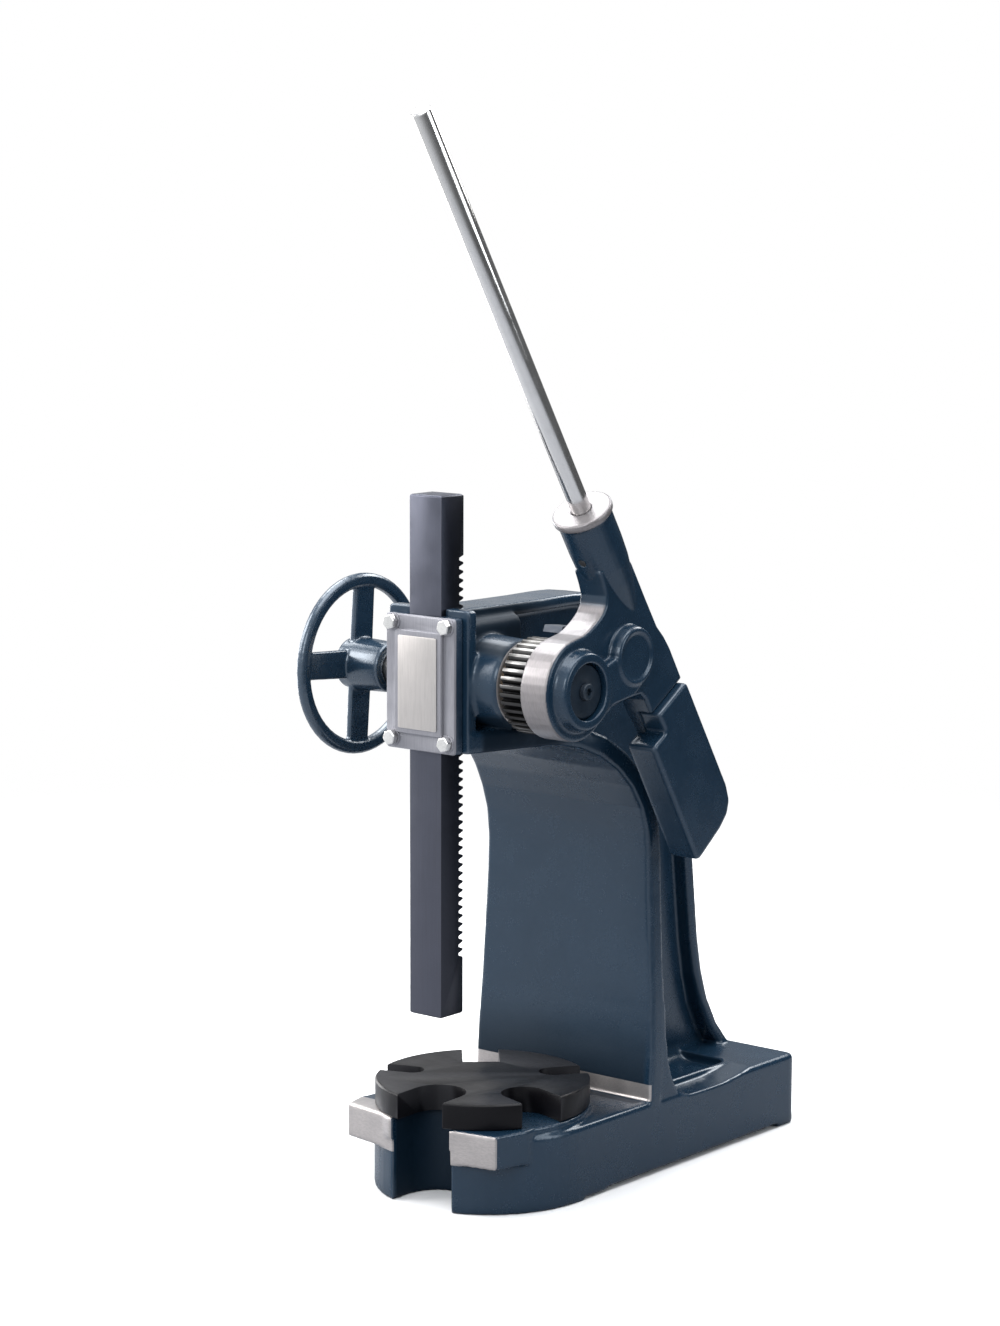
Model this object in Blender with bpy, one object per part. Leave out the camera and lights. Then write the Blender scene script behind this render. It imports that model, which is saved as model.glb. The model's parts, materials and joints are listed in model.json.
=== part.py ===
"""Ratchet-lever bench arbor press, rack ram, five-slot table. Metres, +Z up, operator at -Y, lever side +X."""

import math

import bmesh
import bpy
from mathutils import Matrix, Vector

MM = 0.001

# Where the ram axis stands from the origin, which is the middle of the footprint at bench height
RAM_X, RAM_Y = -9.5, -152.967

# Ram and rack
RAM_W, RAM_D = 44.45, 37.0
RAM_BOTTOM, RAM_TOP = 211.0, 781.0
MODULE = 3.0
RACK_LOW, RACK_HIGH = 276.0, 716.0
WAY_GAP = 0.45

# Pinion shaft
PINION_TEETH = 16
PITCH_R = MODULE * PINION_TEETH / 2
AXIS_Y = RAM_D / 2 - MODULE + PITCH_R
AXIS_Z = 579.3
JOURNAL_R, BORE_R = 20.0, 28.0
NOSE_R = 17.0

# Head
FACE_Y = -13.4
HEAD_LOW, HEAD_HIGH = 505.0, 660.0
HEAD_W = 56.5
CAP_FRONT = -27.0
CAP_W = 48.6
CAP_LOW, CAP_HIGH = 505.0, 652.0
BOLT_X, BOLT_LOW, BOLT_HIGH = 38.0, 517.0, 643.0
BOSS_R, BOSS_OUT, BOSS_IN = 49.0, 90.0, -68.0

# Base
BASE_W, BASE_BACK = 128.0, 510.0
FRONT_Y = 90.0
BASE_TOP = 85.0
SLOT_X, SLOT_W, SLOT_Y = 5.0, 40.0, -4.0
SEAT_TOP = 94.0
TABLE_Y, TABLE_R = 79.5, 120.0
TABLE_LOW, TABLE_HIGH = 94.3, 123.0
PIVOT_R = 16.0

# Ratchet and lever: a runs back from the pinion axis, b runs up the handle
LEAN = math.radians(32.2)
RATCHET_TEETH, RATCHET_R, RATCHET_ROOT = 36, 52.0, 47.2
RATCHET_X = (98.0, 126.6)
PLATE_X = (127.0, 164.0)
HUB_R = 55.0
TUBE_A, TUBE_R, TUBE_X = 123.0, 30.0, 145.5
TUBE_TOP = 147.0
BAR_R, BAR_LOW, BAR_HIGH = 11.0, 62.0, 637.0
PAWL_A, PAWL_B = 87.0, -21.0
WEIGHT_X = (136.0, 174.0)
WEIGHT_TOP, WEIGHT_LOW = -104.0, -292.0

# Handwheel
WHEEL_X, WHEEL_R = -145.2, 101.5


def clear():
    for obj in list(bpy.data.objects):
        bpy.data.objects.remove(obj, do_unlink=True)


def material(name, colour, metallic, rough):
    mat = bpy.data.materials.new(name)
    mat.use_nodes = True
    shader = mat.node_tree.nodes["Principled BSDF"]
    shader.inputs["Base Color"].default_value = (*colour, 1.0)
    shader.inputs["Metallic"].default_value = metallic
    shader.inputs["Roughness"].default_value = rough
    mat.diffuse_color = (*colour, 1.0)
    return mat


def new_object(name, verts, faces):
    """Points in mm from the ram axis, made an object that has its points in metres."""
    mesh = bpy.data.meshes.new(name)
    mesh.from_pydata(
        [((x + RAM_X) * MM, (y + RAM_Y) * MM, z * MM) for x, y, z in verts], [], faces
    )
    mesh.validate()
    obj = bpy.data.objects.new(name, mesh)
    bpy.context.scene.collection.objects.link(obj)
    bm = bmesh.new()
    bm.from_mesh(mesh)
    bmesh.ops.recalc_face_normals(bm, faces=bm.faces)
    bm.to_mesh(mesh)
    bm.free()
    return obj


def place(axis, u, v, h):
    """(u, v) in the plane across the axis, h along it."""
    if axis == "X":
        return (h, u, v)
    if axis == "Y":
        return (u, h, v)
    return (u, v, h)


def prism(name, points, low, high, axis="Z", inset=0.0):
    """A closed outline drawn out along an axis. The inset chamfers the two end faces' edges."""
    n = len(points)
    if not inset:
        rings = [(points, low), (points, high)]
    else:
        small = shrink(points, inset)
        rings = [
            (small, low),
            (points, low + inset),
            (points, high - inset),
            (small, high),
        ]
    verts, faces = [], []
    for outline, h in rings:
        verts += [place(axis, u, v, h) for u, v in outline]
    for k in range(len(rings) - 1):
        for i in range(n):
            j = (i + 1) % n
            faces.append((k * n + i, k * n + j, k * n + n + j, k * n + n + i))
    faces.append(tuple(range(n))[::-1])
    top = (len(rings) - 1) * n
    faces.append(tuple(top + i for i in range(n)))
    return new_object(name, verts, faces)


def shrink(points, by):
    """An outline moved inward by a distance, corner by corner."""
    n = len(points)
    area = sum(
        points[i][0] * points[(i + 1) % n][1] - points[(i + 1) % n][0] * points[i][1]
        for i in range(n)
    )
    side = 1.0 if area > 0 else -1.0
    out = []
    for i in range(n):
        p, q, r = (Vector(points[k % n]) for k in (i - 1, i, i + 1))
        a, b = (q - p).normalized(), (r - q).normalized()
        na, nb = Vector((-a.y, a.x)) * side, Vector((-b.y, b.x)) * side
        mid = na + nb
        scale = by / max(0.35, mid.length_squared / 2)
        out.append(tuple(q + mid * scale))
    return out


def arc(cx, cy, r, start, end, count):
    return [
        (
            cx + r * math.cos(math.radians(start + (end - start) * i / (count - 1))),
            cy + r * math.sin(math.radians(start + (end - start) * i / (count - 1))),
        )
        for i in range(count)
    ]


def circle(cx, cy, r, count=32, turn=0.0):
    return [
        (
            cx + r * math.cos(turn + 2 * math.pi * i / count),
            cy + r * math.sin(turn + 2 * math.pi * i / count),
        )
        for i in range(count)
    ]


def rounded(points, r, steps=4):
    """An outline with each corner rounded. r is one radius or one for each corner."""
    n = len(points)
    radii = r if isinstance(r, (list, tuple)) else [r] * n
    out = []
    for i in range(n):
        p, q, s = (Vector(points[k % n]) for k in (i - 1, i, i + 1))
        rad = radii[i]
        a, b = (p - q).normalized(), (s - q).normalized()
        angle = a.angle(b)
        if rad <= 0 or angle > math.radians(176):
            out.append(tuple(q))
            continue
        reach = min(
            rad / math.tan(angle / 2), (p - q).length * 0.49, (s - q).length * 0.49
        )
        for k in range(steps + 1):
            t = k / steps
            out.append(
                tuple(
                    (q + a * reach) * (1 - t) ** 2
                    + q * 2 * t * (1 - t)
                    + (q + b * reach) * t * t
                )
            )
    return out


def turned(name, profile, axis, cu, cv, count=32):
    """A round piece: profile of (radius, height), each radius above 0, closed round the axis."""
    verts, faces = [], []
    m = len(profile)
    solid = profile[0][0] < 1e-6 or profile[-1][0] < 1e-6
    if solid:
        ends = [profile[0], profile[-1]]
        body = [p for p in profile if p[0] > 1e-6]
        for r, h in body:
            verts += [
                place(
                    axis,
                    cu + r * math.cos(2 * math.pi * i / count),
                    cv + r * math.sin(2 * math.pi * i / count),
                    h,
                )
                for i in range(count)
            ]
        m = len(body)
        for k in range(m - 1):
            for i in range(count):
                j = (i + 1) % count
                faces.append(
                    (
                        k * count + i,
                        k * count + j,
                        (k + 1) * count + j,
                        (k + 1) * count + i,
                    )
                )
        faces.append(tuple(range(count))[::-1])
        faces.append(tuple((m - 1) * count + i for i in range(count)))
    else:
        for r, h in profile:
            verts += [
                place(
                    axis,
                    cu + r * math.cos(2 * math.pi * i / count),
                    cv + r * math.sin(2 * math.pi * i / count),
                    h,
                )
                for i in range(count)
            ]
        for k in range(m):
            for i in range(count):
                j = (i + 1) % count
                n = (k + 1) % m
                faces.append(
                    (k * count + i, k * count + j, n * count + j, n * count + i)
                )
    return new_object(name, verts, faces)


def cylinder(name, r, low, high, axis, cu, cv, count=32, chamfer=0.0):
    if chamfer:
        profile = [
            (0, low),
            (r - chamfer, low),
            (r, low + chamfer),
            (r, high - chamfer),
            (r - chamfer, high),
            (0, high),
        ]
    else:
        profile = [(0, low), (r, low), (r, high), (0, high)]
    return turned(name, profile, axis, cu, cv, count)


def box(name, x, y, z):
    pts = [(x[0], y[0]), (x[1], y[0]), (x[1], y[1]), (x[0], y[1])]
    return prism(name, pts, z[0], z[1], "Z")


def combine(base, others, operation):
    """Each other solid joined to, or cut from, the base. The others are used up."""
    for other in others:
        mod = base.modifiers.new("join", "BOOLEAN")
        mod.object, mod.operation, mod.solver = other, operation, "EXACT"
        graph = bpy.context.evaluated_depsgraph_get()
        mesh = bpy.data.meshes.new_from_object(base.evaluated_get(graph))
        base.modifiers.clear()
        old = base.data
        base.data = mesh
        bpy.data.meshes.remove(old)
        bpy.data.objects.remove(other, do_unlink=True)
    return base


def union(base, others):
    return combine(base, others, "UNION")


def cut(base, others):
    return combine(base, others, "DIFFERENCE")


def tidy(obj, limit=0.00002):
    """Points closer than the limit made one where the mesh stays closed, so that no sliver stays from a cut."""
    bm = bmesh.new()
    bm.from_mesh(obj.data)
    bmesh.ops.remove_doubles(bm, verts=bm.verts, dist=limit)
    bmesh.ops.dissolve_degenerate(bm, edges=bm.edges, dist=limit)
    if all(edge.is_manifold for edge in bm.edges):
        bm.to_mesh(obj.data)
    bm.free()
    return obj


def finish(obj, name, mat, origin=None):
    """Named, given its material, shaded and put on its joint axis."""
    obj.name = name
    obj.data.name = name
    obj.data.materials.clear()
    obj.data.materials.append(mat)
    if origin:
        point = Vector(
            ((origin[0] + RAM_X) * MM, (origin[1] + RAM_Y) * MM, origin[2] * MM)
        )
        obj.data.transform(Matrix.Translation(-point))
        obj.location = point
    obj.data.shade_smooth()
    obj.data.set_sharp_from_angle(angle=math.radians(35))
    return obj


def lever(a, b):
    """Lever coordinates to (y, z)."""
    return (
        AXIS_Y + a * math.cos(LEAN) - b * math.sin(LEAN),
        AXIS_Z + a * math.sin(LEAN) + b * math.cos(LEAN),
    )


def along_lever(name, a, x, profile, count=28):
    """A round piece whose axis runs up the handle direction, at a and x."""
    verts, faces = [], []
    body = [p for p in profile if p[0] > 1e-6]
    hollow = len(body) == len(profile)
    for r, b in body:
        for i in range(count):
            t = 2 * math.pi * i / count
            y, z = lever(a + r * math.cos(t), b)
            verts.append((x + r * math.sin(t), y, z))
    m = len(body)
    for k in range(m if hollow else m - 1):
        n = (k + 1) % m
        for i in range(count):
            j = (i + 1) % count
            faces.append((k * count + i, k * count + j, n * count + j, n * count + i))
    if not hollow:
        faces.append(tuple(range(count))[::-1])
        faces.append(tuple((m - 1) * count + i for i in range(count)))
    return new_object(name, verts, faces)


# ---------------------------------------------------------------- frame casting


def throat_stations():
    """(y, z, half width) along the inner side of the C, from the base to the head front."""
    low = [
        (218.0, 70.0, 128.0),
        (222.0, 104.0, 128.0),
        (224.5, 140.0, 128.0),
        (227.0, 190.0, 125.5),
        (228.5, 260.0, 122.0),
        (229.0, 320.0, 119.0),
        (229.0, 363.0, 118.0),
    ]
    bend = []
    for deg in (12, 24, 36, 48, 60, 72, 82, 90):
        t = math.radians(deg)
        y = 87 + 142 * math.cos(t)
        w = 118.0 - 61.5 * max(0.0, (213.0 - y) / 226.4) ** 1.12
        bend.append((y, 363 + 142 * math.sin(t), w))
    front = []
    for y in (45.0, 0.0, FACE_Y + 0.6):
        w = 118.0 - 61.5 * max(0.0, (213.0 - y) / 226.4) ** 1.12
        front.append((y, HEAD_LOW, max(w, HEAD_W)))
    return low + bend + front


def flange(name, stations, thick, side, rim=8.0):
    """A flange that follows a path in the YZ plane: each station has a half width, and the thickness lies on one side."""
    verts, faces = [], []
    n = len(stations)
    for i, (y, z, w) in enumerate(stations):
        p = stations[max(i - 1, 0)]
        q = stations[min(i + 1, n - 1)]
        t = Vector((q[0] - p[0], q[1] - p[1])).normalized()
        out = Vector((t.y, -t.x)) * side
        section = [
            (-w + rim * 0.35, 0.0),
            (w - rim * 0.35, 0.0),
            (w - rim * 0.08, rim * 0.25),
            (w, rim * 0.7),
            (w, thick - 4.0),
            (w - 4.0, thick),
            (-w + 4.0, thick),
            (-w, thick - 4.0),
            (-w, rim * 0.7),
            (-w + rim * 0.08, rim * 0.25),
        ]
        verts += [(x, y + out.x * d, z + out.y * d) for x, d in section]
    m = 10
    for i in range(n - 1):
        for k in range(m):
            j = (k + 1) % m
            faces.append((i * m + k, i * m + j, (i + 1) * m + j, (i + 1) * m + k))
    faces.append(tuple(range(m))[::-1])
    faces.append(tuple((n - 1) * m + k for k in range(m)))
    return new_object(name, verts, faces)


def outer_stations():
    """(y, z, half width) along the back of the C, from the base up and over to the head."""
    return [
        (509.0, 66.0, 41.0),
        (497.0, 88.0, 38.0),
        (478.5, 112.0, 35.0),
        (461.5, 145.0, 33.0),
        (450.0, 182.0, 32.0),
        (441.5, 224.0, 32.0),
        (435.5, 275.0, 32.0),
        (429.0, 330.0, 32.0),
        (421.0, 395.0, 32.0),
        (408.0, 460.0, 31.5),
        (389.0, 516.0, 31.0),
        (361.0, 567.0, 30.5),
        (325.0, 611.0, 30.0),
        (290.0, 638.5, 29.5),
        (256.0, 650.5, 29.0),
        (222.0, 655.0, 28.5),
        (190.0, 655.6, 28.5),
        (150.0, 655.2, 28.5),
        (80.0, 655.8, 28.5),
        (6.0, 657.5, 28.5),
    ]


def heel():
    """The long fillet that carries the throat flange's rear edge down into the base."""
    rings = [
        (80.6, 280.4, 125.6),
        (85.2, 279.4, 126.4),
        (89.5, 274.0, 127.4),
        (96.6, 268.2, 127.7),
        (108.0, 262.4, 127.7),
        (124.4, 256.8, 127.7),
        (140.0, 254.0, 127.6),
        (165.0, 252.6, 126.5),
        (195.0, 251.8, 124.9),
        (222.0, 250.2, 123.4),
    ]
    verts, faces = [], []
    for z, y, w in rings:
        verts += [(-w, 237.0, z), (w, 237.0, z), (w, y, z), (-w, y, z)]
    for i in range(len(rings) - 1):
        for k in range(4):
            j = (k + 1) % 4
            faces.append((i * 4 + k, i * 4 + j, i * 4 + 4 + j, i * 4 + 4 + k))
    m = 4 * (len(rings) - 1)
    faces += [(3, 2, 1, 0), (m, m + 1, m + 2, m + 3)]
    return new_object("heel", verts, faces)


def make_frame(mat):
    outline = arc(0, FRONT_Y, BASE_W, 180, 360, 29) + rounded(
        [(BASE_W, BASE_BACK), (-BASE_W, BASE_BACK)], 0
    )
    outline = outline[:-2] + rounded(
        [(BASE_W, 300.0), (BASE_W, BASE_BACK), (-BASE_W, BASE_BACK), (-BASE_W, 300.0)],
        [0, 12, 12, 0],
        3,
    )
    small = shrink(outline, 5.0)
    mid = shrink(outline, 1.5)
    verts, faces, n = [], [], len(outline)
    for ring, z in (
        (outline, 4.6),
        (outline, BASE_TOP - 5.0),
        (mid, BASE_TOP - 1.5),
        (small, BASE_TOP),
    ):
        verts += [(x, y, z) for x, y in ring]
    for k in range(3):
        for i in range(n):
            j = (i + 1) % n
            faces.append((k * n + i, k * n + j, k * n + n + j, k * n + n + i))
    faces.append(tuple(range(n))[::-1])
    faces.append(tuple(3 * n + i for i in range(n)))
    frame = new_object("frame", verts, faces)

    feet = [
        prism(
            "foot",
            arc(0, FRONT_Y, BASE_W - 0.4, 180, 360, 25)
            + [(BASE_W - 0.4, 103.0), (-BASE_W + 0.4, 103.0)],
            0.0,
            10.0,
        ),
        box("foot", (-BASE_W + 0.6, BASE_W - 0.6), (98.0, 143.0), (2.2, 10.0)),
        box("foot", (60.0, BASE_W - 1.5), (478.0, BASE_BACK - 3), (0.0, 10.0)),
        box("foot", (-BASE_W + 1.5, -60.0), (478.0, BASE_BACK - 3), (0.0, 10.0)),
    ]
    seat = prism("seat", circle(0, TABLE_Y, 121.0, 56), 70.0, SEAT_TOP)
    step = box("step", (-140.0, 140.0), (150.0, 222.3), (BASE_TOP + 0.02, 104.0))
    lugs = []
    for pts in (
        [(45.3, -31.6), (101, -20.5), (112, 22), (112, 60), (45.3, 60)],
        [(-112, 60), (-120, 8), (-113, -19.5), (-35.3, -32.1), (-35.3, 60)],
    ):
        lugs.append(prism("lug", pts, 55.0, SEAT_TOP - 0.2))
    union(frame, feet)

    inner = throat_stations()
    web = [(y, z) for y, z, w in inner]
    web = [(y + 6, z) for y, z in web[:6]] + [(y + 2, z + 6) for y, z in web[6:-2]]
    outer = outer_stations()
    back = [(y - 6, z) for y, z, w in outer[:10]] + [
        (y - 3, z - 6) for y, z, w in outer[10:-1]
    ]
    web_outline = web[:-1] + [(20.0, HEAD_LOW + 8), (20.0, 648.0)] + back[::-1]
    union(
        frame,
        [
            prism("web", web_outline, -12.0, 12.0, "X"),
            flange("throat", inner, 24.0, 1),
            flange("back", outer, 14.0, -1, 5.0),
        ],
    )
    # the sunk floor in each side recess, and the fillets round the column's foot
    floors, fillets = [], []
    floor_z = BASE_TOP - 12.0
    for s in (1, -1):
        pts = [(11.4, 283), (68, 283), (84, 302), (84, 419), (74, 430), (11.4, 430)]
        pts = [(x * s, y) for x, y in pts]
        floors.append(prism("floor", pts if s > 0 else pts[::-1], floor_z, 96.0))
        hollow = [(34 - 23.5 * math.cos(t), floor_z + 23.5 - 23.5 * math.sin(t)) for t in (math.pi / 2 * k / 6 for k in range(7))]
        pts = [(x * s, z) for x, z in [(8, floor_z - 3)] + [(8, hollow[0][1])] + hollow + [(34, floor_z - 3)]]
        fillets.append(prism("fillet", pts if s < 0 else pts[::-1], 240.0, 436.0, "Y"))
    cut(frame, floors)
    union(frame, fillets + [heel()])
    dip = [
        (281.5, 92.0), (281.5, 84.7), (288.0, 80.9), (298.0, 78.6), (330.0, 77.8),
        (364.0, 78.2), (396.0, 81.5), (426.0, 85.6), (430.0, 92.0),
    ]
    cut(frame, [prism("dip", dip, low, high, "X") for low, high in ((-131.0, -91.0), (91.0, 131.0))])
    # the milled step at the foot of the column, then the table's seat in front of it
    cut(frame, [step])
    union(frame, [seat] + lugs)
    plate = prism(
        "plate",
        rounded(
            [
                (-HEAD_W, HEAD_LOW),
                (HEAD_W, HEAD_LOW),
                (HEAD_W, HEAD_HIGH),
                (-HEAD_W, HEAD_HIGH),
            ],
            [3, 3, 6, 6],
            3,
        ),
        FACE_Y,
        0.0,
        "Y",
    )
    housing = prism(
        "housing",
        rounded(
            [
                (-41, HEAD_LOW + 3),
                (41, HEAD_LOW + 3),
                (41, 642.0),
                (14, 652.0),
                (-14, 652.0),
                (-41, 642.0),
            ],
            [0, 0, 12, 4, 4, 12],
            3,
        ),
        -3.0,
        96.0,
        "Y",
    )
    boss = turned(
        "boss",
        [
            (0, BOSS_IN),
            (BOSS_R - 5, BOSS_IN),
            (BOSS_R - 2, BOSS_IN + 3),
            (BOSS_R + 1, -41.0),
            (BOSS_R + 1, 41.0),
            (BOSS_R - 1.0, BOSS_OUT - 4),
            (BOSS_R - 4, BOSS_OUT),
            (0, BOSS_OUT),
        ],
        "X",
        AXIS_Y,
        AXIS_Z,
        40,
    )
    union(frame, [plate, housing, boss])

    left, right = SLOT_X - SLOT_W, SLOT_X + SLOT_W
    slot = (
        [(left, -90.0), (right, -90.0), (right, SLOT_Y)]
        + arc(SLOT_X, SLOT_Y, SLOT_W, 0, 180, 21)[1:-1]
        + [(left, SLOT_Y)]
    )
    way = RAM_W / 2 + WAY_GAP
    cutters = [
        prism("slot", slot, -5.0, 120.0),
        box("way", (-way, way), (-40.0, RAM_D / 2 + WAY_GAP), (480.0, 700.0)),
        cylinder("bore", BORE_R, -90.0, 110.0, "X", AXIS_Y, AXIS_Z, 36),
        cylinder("pivot", PIVOT_R, 40.0, 110.0, "Z", 0.0, TABLE_Y, 32),
    ]
    for x in (-BOLT_X, BOLT_X):
        for z in (BOLT_LOW, BOLT_HIGH):
            cutters.append(
                cylinder("hole", 5.1, -20.0, -1.5, "Y", x, z, 12)
            )
    # the two hollows under the base, with a rib between them
    for low, high in ((104, 218), (244, 486)):
        cutters.append(
            prism(
                "core",
                rounded(
                    [(-106, low), (106, low), (106, high), (-106, high)], [12] * 4, 3
                ),
                -5.0,
                58.0,
            )
        )
    cut(frame, cutters[:3])
    cut(frame, cutters[3:])
    return finish(tidy(frame), "frame_casting", mat)


# ---------------------------------------------------------------- ram, cap, gib


def make_ram(mat):
    """A square bar with a rack cut into its back face."""
    pitch = math.pi * MODULE
    back, front = RAM_D / 2, -RAM_D / 2
    depth = 2.25 * MODULE
    ram = prism(
        "ram",
        [
            (-RAM_W / 2, front),
            (RAM_W / 2, front),
            (RAM_W / 2, back),
            (-RAM_W / 2, back),
        ],
        RAM_BOTTOM,
        RAM_TOP,
        "Z",
        1.6,
    )
    tan = math.tan(math.radians(20))
    count_low = math.ceil((RACK_LOW - AXIS_Z) / pitch)
    count_high = math.floor((RACK_HIGH - AXIS_Z) / pitch)
    comb = [(back + 3.0, AXIS_Z + (count_low - 0.5) * pitch)]
    clearance = 0.22
    for k in range(count_low, count_high + 1):
        z = AXIS_Z + k * pitch
        pitch_half = pitch / 4 + clearance
        top = pitch_half + MODULE * tan
        low = pitch_half - (depth - MODULE) * tan
        comb += [
            (back + 0.5, z - top - 0.5 * tan),
            (back - depth, z - low),
            (back - depth, z + low),
            (back + 0.5, z + top + 0.5 * tan),
        ]
    comb += [(back + 3.0, AXIS_Z + (count_high + 0.5) * pitch)]
    cutter = prism("comb", comb, -RAM_W / 2 - 1, RAM_W / 2 + 1, "X")
    return finish(tidy(cut(ram, [cutter])), "ram_rack", mat)


def make_cap(mat):
    cap = prism(
        "cap",
        rounded(
            [
                (-CAP_W, CAP_LOW),
                (CAP_W, CAP_LOW),
                (CAP_W, CAP_HIGH),
                (-CAP_W, CAP_HIGH),
            ],
            4,
            3,
        ),
        CAP_FRONT,
        FACE_Y - 0.3,
        "Y",
        1.2,
    )
    pad = prism(
        "pad",
        rounded([(-33, 523), (33, 523), (33, 636), (-33, 636)], 3, 2),
        CAP_FRONT - 4.5,
        CAP_FRONT + 4,
        "Y",
        1.0,
    )
    bosses = [
        cylinder("boss", 9.6, CAP_FRONT - 1.6, CAP_FRONT + 4, "Y", x, z, 24, 0.5)
        for x in (-BOLT_X, BOLT_X)
        for z in (BOLT_LOW, BOLT_HIGH)
    ]
    union(cap, [pad] + bosses)
    way = RAM_W / 2 + WAY_GAP
    cutters = [box("channel", (-way, way), (-22.6, -8.0), (480.0, 700.0))]
    for x in (-BOLT_X, BOLT_X):
        for z in (BOLT_LOW, BOLT_HIGH):
            cutters.append(cylinder("hole", 5.4, -40.0, 0.0, "Y", x, z, 16))
    cut(cap, cutters)
    return finish(tidy(cap), "front_cap", mat)


def make_gib(mat):
    way = RAM_W / 2 + 0.1
    gib = box("gib", (-way, way), (-22.3, -RAM_D / 2 - 0.35), (508.0, 649.0))
    return finish(gib, "gib_plate", mat)


def hex_bolt(x, z, front, head, af, shank, length):
    """A hex head on a shank along Y; the head's underside is at front."""
    r = af / math.sqrt(3)
    body = prism(
        "head", circle(x, z, r, 6, math.radians(15)), front - head, front, "Y", 1.0
    )
    rod = cylinder("rod", shank, front - 1.0, front + length, "Y", x, z, 14)
    return union(body, [rod])


def make_bolts(mat):
    places = [(x, z) for x in (-BOLT_X, BOLT_X) for z in (BOLT_LOW, BOLT_HIGH)]
    for i, (x, z) in enumerate(places):
        bolt = hex_bolt(x, z, CAP_FRONT - 1.9, 7.2, 15.0, 4.7, 20.5)
        finish(bolt, f"cap_bolt_{i + 1}", mat.copy())


def make_nameplate(mat):
    plate = prism(
        "plate",
        rounded([(-27, 529), (27, 529), (27, 630), (-27, 630)], 2, 2),
        CAP_FRONT - 5.8,
        CAP_FRONT - 4.8,
        "Y",
    )
    return finish(plate, "blank_nameplate", mat)


# ---------------------------------------------------------------- pinion group


def gear_outline(cy, cz, teeth, module, thin, turn, outer, root):
    """Involute teeth with a 20 degree pressure angle, thinned for backlash, first tooth centred at turn."""
    pressure = math.radians(20)
    pitch_r = module * teeth / 2
    base_r = pitch_r * math.cos(pressure)

    def inv(r):
        if r <= base_r:
            return 0.0
        a = math.acos(base_r / r)
        return math.tan(a) - a

    half = math.pi / (2 * teeth) - thin / pitch_r
    at_pitch = inv(pitch_r)
    radii = [base_r + (outer - base_r) * k / 3 for k in range(4)]
    points = []
    for i in range(teeth):
        mid = turn + 2 * math.pi * i / teeth
        flank = [(r, half + at_pitch - inv(r)) for r in radii]
        side = [(root, flank[0][1])] + flank
        points += [(r, mid - w) for r, w in side]
        points += [(r, mid + w) for r, w in side[::-1]]
    return [(cy + r * math.cos(t), cz + r * math.sin(t)) for r, t in points]


def make_pinion(mat):
    teeth = prism(
        "teeth",
        gear_outline(
            AXIS_Y,
            AXIS_Z,
            PINION_TEETH,
            MODULE,
            0.1,
            math.pi,
            PITCH_R + 0.95 * MODULE,
            PITCH_R - 1.2 * MODULE,
        ),
        -24.4,
        24.4,
        "X",
    )
    shaft = turned(
        "shaft",
        [
            (0, -158.5),
            (15.5, -158.5),
            (17.0, -157.0),
            (17.0, -92.0),
            (JOURNAL_R, -92.0),
            (JOURNAL_R, 91.0),
            (NOSE_R, 91.0),
            (NOSE_R, 164.3),
            (15.8, 165.5),
            (0, 165.5),
        ],
        "X",
        AXIS_Y,
        AXIS_Z,
        32,
    )
    union(teeth, [shaft])
    keyways = [
        box(
            "way",
            (99.0, 126.0),
            (AXIS_Y - 4.2, AXIS_Y + 4.2),
            (AXIS_Z + 12.7, AXIS_Z + 22.0),
        ),
        box(
            "way",
            (-146.0, -106.0),
            (AXIS_Y - 4.2, AXIS_Y + 4.2),
            (AXIS_Z + 12.7, AXIS_Z + 22.0),
        ),
        cylinder("tap", 4.6, 138.0, 170.0, "X", AXIS_Y, AXIS_Z, 16),
        # a flat for the handwheel's set screw
        box(
            "flat",
            (-140.0, -126.0),
            (AXIS_Y - 10, AXIS_Y + 10),
            (AXIS_Z - 24.0, AXIS_Z - 16.0),
        ),
    ]
    cut(teeth, keyways)
    return finish(
        tidy(teeth), "pinion_shaft", mat, origin=(0.0, AXIS_Y, AXIS_Z)
    )


def make_bushing(name, mat, low, high, flange_r=0.0, flange_t=0.0, out=1):
    outer, inner = BORE_R - 0.3, JOURNAL_R + 0.3
    if flange_r:
        profile = [
            (inner, low),
            (outer, low),
            (outer, high),
            (flange_r, high),
            (flange_r, high + flange_t * out),
            (inner, high + flange_t * out),
        ]
    else:
        profile = [(inner, low), (outer, low), (outer, high), (inner, high)]
    return finish(turned("bush", profile, "X", AXIS_Y, AXIS_Z, 32), name, mat)


def make_ratchet(mat):
    """A toothed wheel whose steep faces take the pawl's push."""
    step = 2 * math.pi / RATCHET_TEETH
    points = []
    for i in range(RATCHET_TEETH):
        start = LEAN + i * step
        for phase, r in (
            (0.0, RATCHET_ROOT),
            (0.06, RATCHET_R),
            (0.45, RATCHET_R),
            (0.86, RATCHET_ROOT),
        ):
            t = start + phase * step
            points.append((AXIS_Y + r * math.cos(t), AXIS_Z + r * math.sin(t)))
    wheel = prism("wheel", points, RATCHET_X[0], RATCHET_X[1], "X")
    cutters = [
        cylinder("bore", NOSE_R + 0.25, 90.0, 130.0, "X", AXIS_Y, AXIS_Z, 32),
        box(
            "way",
            (90.0, 130.0),
            (AXIS_Y - 4.2, AXIS_Y + 4.2),
            (AXIS_Z + 12.0, AXIS_Z + 21.0),
        ),
    ]
    cut(wheel, cutters)
    return finish(tidy(wheel), "ratchet_wheel", mat, origin=(0.0, AXIS_Y, AXIS_Z))


def make_key(name, mat, low, high):
    key = box(
        "key",
        (low, high),
        (AXIS_Y - 3.95, AXIS_Y + 3.95),
        (AXIS_Z + 12.95, AXIS_Z + 20.7),
    )
    return finish(key, name, mat, origin=(0.0, AXIS_Y, AXIS_Z))


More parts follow.
